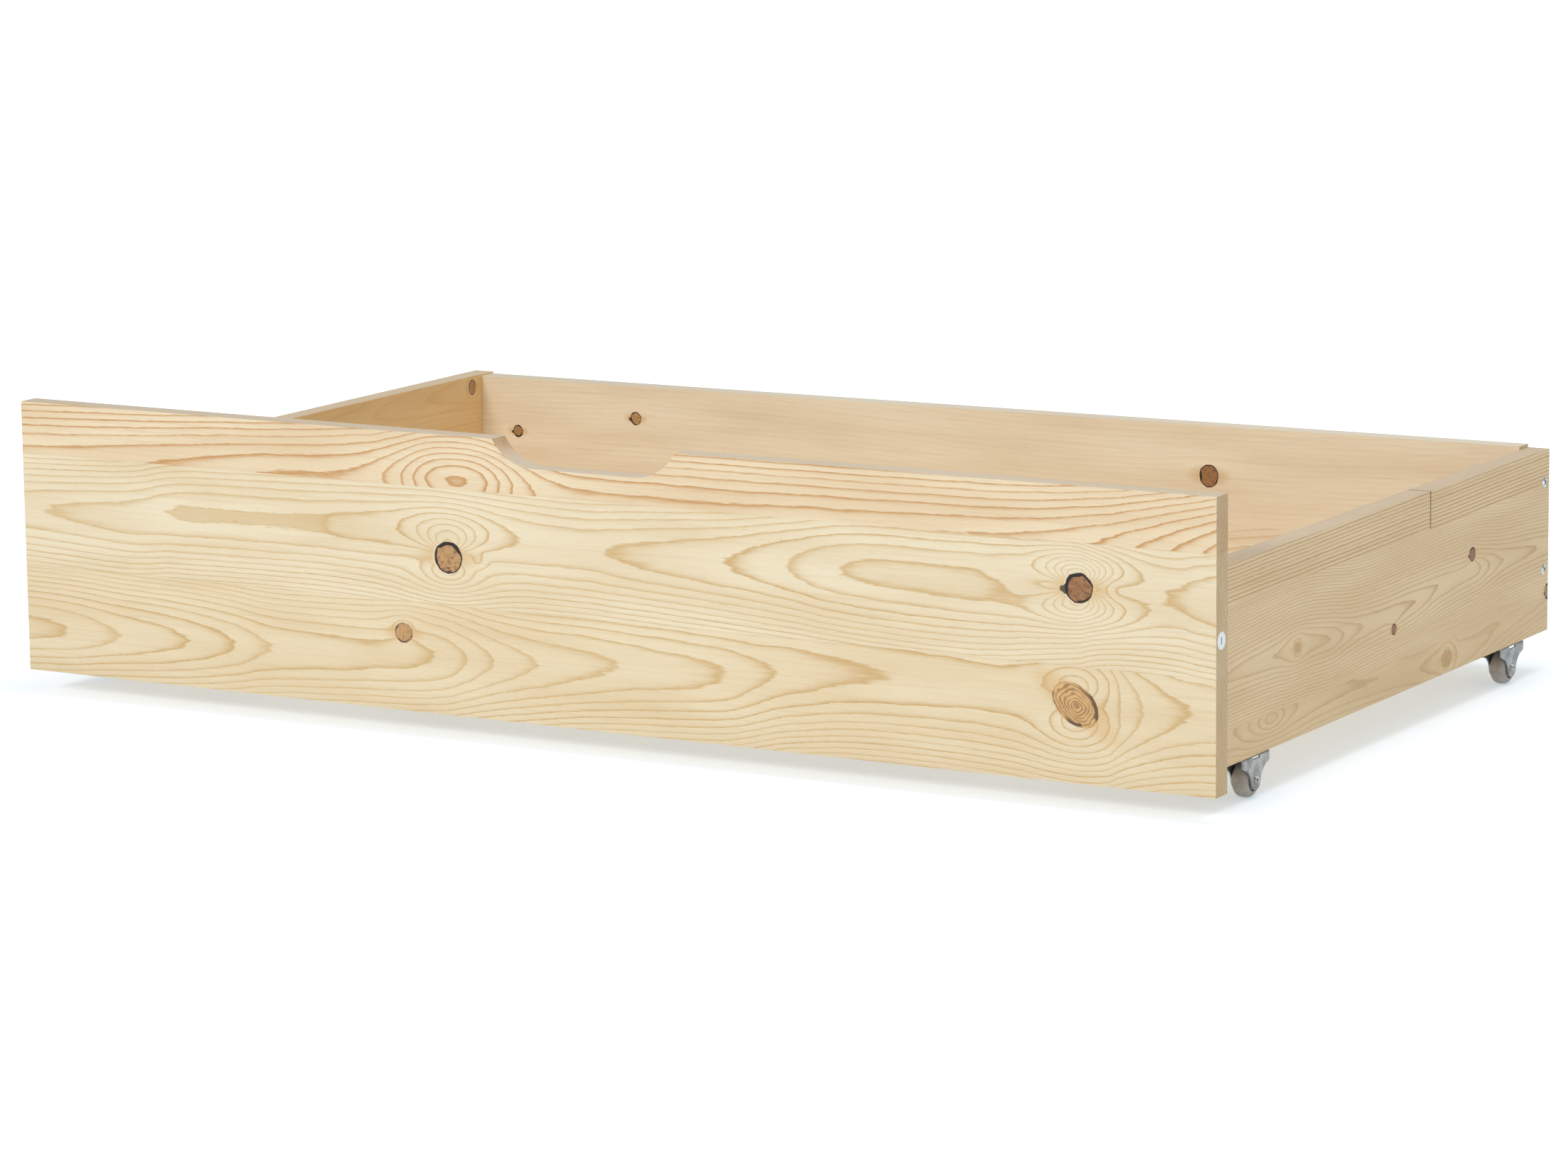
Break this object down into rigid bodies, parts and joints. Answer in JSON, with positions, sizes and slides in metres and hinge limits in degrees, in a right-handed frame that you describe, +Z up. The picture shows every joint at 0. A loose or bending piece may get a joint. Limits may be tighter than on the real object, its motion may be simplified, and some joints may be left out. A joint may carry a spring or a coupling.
{
  "type": "under bed box",
  "caption": "Shallow open-topped pine drawer on fixed castors for storage under a bed, with a hand cut-out in the top edge of its overhanging front panel.",
  "frame": {"origin": "on the floor, under the middle of the box", "axes": "+Z up, front panel faces -Y, +X to the right seen from the front; the castors roll along Y"},
  "size_m": [0.9702, 0.588, 0.218],
  "materials": {
    "pine_front": "sanded, waxed pine",
    "pine_sides": "sanded, waxed pine",
    "pine_back": "sanded, waxed pine",
    "pine_rail": "planed pine",
    "plywood": "sanded birch plywood",
    "dowel_beech": "fluted beech",
    "castor_steel": "zinc plated, dull",
    "rivet_steel": "zinc plated, satin",
    "screw_zinc": "bright zinc plated",
    "cam_zinc": "die-cast zinc",
    "wheel_plastic": "grey-brown, matte",
    "label_film": "white, satin"
  },
  "bodies": {
    "box": {"front_panel": "pine_front", "side_panel_left": "pine_sides", "side_panel_right": "pine_sides", "back_panel": "pine_back", "bottom_panel": "plywood", "centre_rail": "pine_rail", "castor_bracket_front_left": "castor_steel", "castor_bracket_front_right": "castor_steel", "castor_bracket_rear_left": "castor_steel", "castor_bracket_rear_right": "castor_steel", "axle_front_left": "rivet_steel", "axle_front_right": "rivet_steel", "axle_rear_left": "rivet_steel", "axle_rear_right": "rivet_steel", "castor_screws": "screw_zinc", "back_screws": "screw_zinc", "cam_bolts": "screw_zinc", "cam_discs": "cam_zinc", "front_dowels": "dowel_beech", "rail_dowels": "dowel_beech", "rail_screws": "screw_zinc", "assembly_label": "label_film"},
    "wheel_front_left": {"wheel_front_left": "wheel_plastic"},
    "wheel_front_right": {"wheel_front_right": "wheel_plastic"},
    "wheel_rear_left": {"wheel_rear_left": "wheel_plastic"},
    "wheel_rear_right": {"wheel_rear_right": "wheel_plastic"}
  },
  "joints": [
    {"name": "roll_front_left", "type": "hinge", "parent": "box", "child": "wheel_front_left", "pos_m": [-0.4645, -0.206, 0.0125], "axis": [1, 0, 0], "continuous": true},
    {"name": "roll_front_right", "type": "hinge", "parent": "box", "child": "wheel_front_right", "pos_m": [0.4645, -0.206, 0.0125], "axis": [1, 0, 0], "continuous": true},
    {"name": "roll_rear_left", "type": "hinge", "parent": "box", "child": "wheel_rear_left", "pos_m": [-0.4645, 0.23, 0.0125], "axis": [1, 0, 0], "continuous": true},
    {"name": "roll_rear_right", "type": "hinge", "parent": "box", "child": "wheel_rear_right", "pos_m": [0.4645, 0.23, 0.0125], "axis": [1, 0, 0], "continuous": true}
  ]
}
